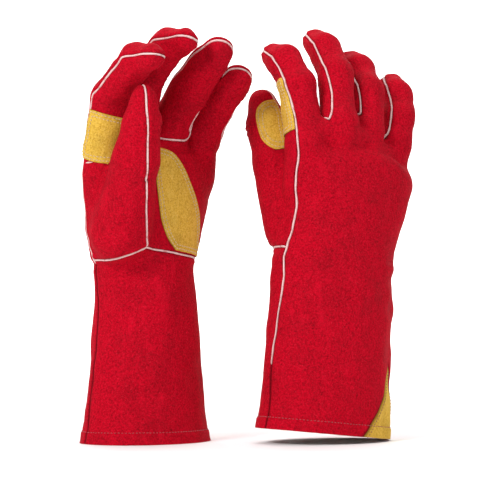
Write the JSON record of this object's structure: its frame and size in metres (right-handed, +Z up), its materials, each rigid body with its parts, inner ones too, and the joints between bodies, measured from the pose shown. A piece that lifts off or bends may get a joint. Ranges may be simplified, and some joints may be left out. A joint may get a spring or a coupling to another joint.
{
  "type": "welding gloves",
  "caption": "Pair of long-cuffed leather welding gauntlets standing on their hems, with welted seams, reinforcement patches, lined hands and bending fingers.",
  "frame": {"origin": "centre of the pair's bounding box on the ground they stand on", "axes": "+Z up from the hems to the fingertips, X across the pair, left glove at -X, -Y towards the viewer"},
  "size_m": [0.2886, 0.1978, 0.3545],
  "materials": {
    "red_leather": "matt suede",
    "yellow_leather": "matt suede",
    "welt_piping": "smooth piping",
    "cotton_lining": "brushed fleece"
  },
  "bodies": {
    "left_hand": {"left_back_panel": "red_leather", "left_palm_panel": "red_leather", "left_thumb_mound": "red_leather", "left_cuff_panel": "red_leather", "left_cuff_gusset": "yellow_leather", "left_palm_patch": "yellow_leather", "left_hand_welts": "welt_piping", "left_lining": "cotton_lining"},
    "left_index": {"left_index_back": "red_leather", "left_index_front": "red_leather", "left_index_welt": "welt_piping", "left_index_lining": "cotton_lining", "left_index_patch": "yellow_leather"},
    "left_middle": {"left_middle_back": "red_leather", "left_middle_front": "red_leather", "left_middle_welt": "welt_piping", "left_middle_lining": "cotton_lining"},
    "left_ring": {"left_ring_back": "red_leather", "left_ring_front": "red_leather", "left_ring_welt": "welt_piping", "left_ring_lining": "cotton_lining"},
    "left_little": {"left_little_back": "red_leather", "left_little_front": "red_leather", "left_little_welt": "welt_piping", "left_little_lining": "cotton_lining"},
    "left_thumb": {"left_thumb_back": "red_leather", "left_thumb_front": "red_leather", "left_thumb_welt": "welt_piping", "left_thumb_lining": "cotton_lining", "left_thumb_patch": "yellow_leather"},
    "right_hand": {"right_back_panel": "red_leather", "right_palm_panel": "red_leather", "right_thumb_mound": "red_leather", "right_cuff_panel": "red_leather", "right_cuff_gusset": "yellow_leather", "right_palm_patch": "yellow_leather", "right_hand_welts": "welt_piping", "right_lining": "cotton_lining"},
    "right_index": {"right_index_back": "red_leather", "right_index_front": "red_leather", "right_index_welt": "welt_piping", "right_index_lining": "cotton_lining", "right_index_patch": "yellow_leather"},
    "right_middle": {"right_middle_back": "red_leather", "right_middle_front": "red_leather", "right_middle_welt": "welt_piping", "right_middle_lining": "cotton_lining"},
    "right_ring": {"right_ring_back": "red_leather", "right_ring_front": "red_leather", "right_ring_welt": "welt_piping", "right_ring_lining": "cotton_lining"},
    "right_little": {"right_little_back": "red_leather", "right_little_front": "red_leather", "right_little_welt": "welt_piping", "right_little_lining": "cotton_lining"},
    "right_thumb": {"right_thumb_back": "red_leather", "right_thumb_front": "red_leather", "right_thumb_welt": "welt_piping", "right_thumb_lining": "cotton_lining", "right_thumb_patch": "yellow_leather"}
  },
  "joints": [
    {"name": "left_index_bend", "type": "hinge", "parent": "left_hand", "child": "left_index", "pos_m": [-0.1194, -0.03421, 0.246], "axis": [0.788, 0.6157, 0], "range_deg": [-10, 12], "stiffness_Nm_per_rad": 1},
    {"name": "left_middle_bend", "type": "hinge", "parent": "left_hand", "child": "left_middle", "pos_m": [-0.09542, -0.01293, 0.272], "axis": [0.788, 0.6157, 0], "range_deg": [-12, 20], "stiffness_Nm_per_rad": 1},
    {"name": "left_ring_bend", "type": "hinge", "parent": "left_hand", "child": "left_ring", "pos_m": [-0.06634, 0.00344, 0.268], "axis": [0.788, 0.6157, 0], "range_deg": [-12, 20], "stiffness_Nm_per_rad": 1},
    {"name": "left_little_bend", "type": "hinge", "parent": "left_hand", "child": "left_little", "pos_m": [-0.03694, 0.01715, 0.26], "axis": [0.788, 0.6157, 0], "range_deg": [-12, 20], "stiffness_Nm_per_rad": 1},
    {"name": "left_thumb_bend", "type": "hinge", "parent": "left_hand", "child": "left_thumb", "pos_m": [-0.09608, -0.07056, 0.236], "axis": [0.788, 0.6157, 0], "range_deg": [-5, 20], "stiffness_Nm_per_rad": 1},
    {"name": "right_index_bend", "type": "hinge", "parent": "right_hand", "child": "right_index", "pos_m": [0.05034, -0.0143, 0.24915], "axis": [-0.8147, -0.5704, 0.1045], "range_deg": [-10, 12], "stiffness_Nm_per_rad": 1},
    {"name": "right_middle_bend", "type": "hinge", "parent": "right_hand", "child": "right_middle", "pos_m": [0.07978, 0.00387, 0.27166], "axis": [-0.8147, -0.5704, 0.1045], "range_deg": [-12, 20], "stiffness_Nm_per_rad": 1},
    {"name": "right_ring_bend", "type": "hinge", "parent": "right_hand", "child": "right_ring", "pos_m": [0.10345, 0.02655, 0.26423], "axis": [-0.8147, -0.5704, 0.1045], "range_deg": [-12, 20], "stiffness_Nm_per_rad": 1},
    {"name": "right_little_bend", "type": "hinge", "parent": "right_hand", "child": "right_little", "pos_m": [0.12432, 0.05008, 0.25297], "axis": [-0.8147, -0.5704, 0.1045], "range_deg": [-12, 20], "stiffness_Nm_per_rad": 1},
    {"name": "right_thumb_bend", "type": "hinge", "parent": "right_hand", "child": "right_thumb", "pos_m": [0.02156, 0.01804, 0.23962], "axis": [-0.8147, -0.5704, 0.1045], "range_deg": [-5, 20], "stiffness_Nm_per_rad": 1},
    {"name": "pair_spacing", "type": "slide", "parent": "left_hand", "child": "right_hand", "axis": [1, 0, 0], "range_m": [0, 0.15]}
  ]
}
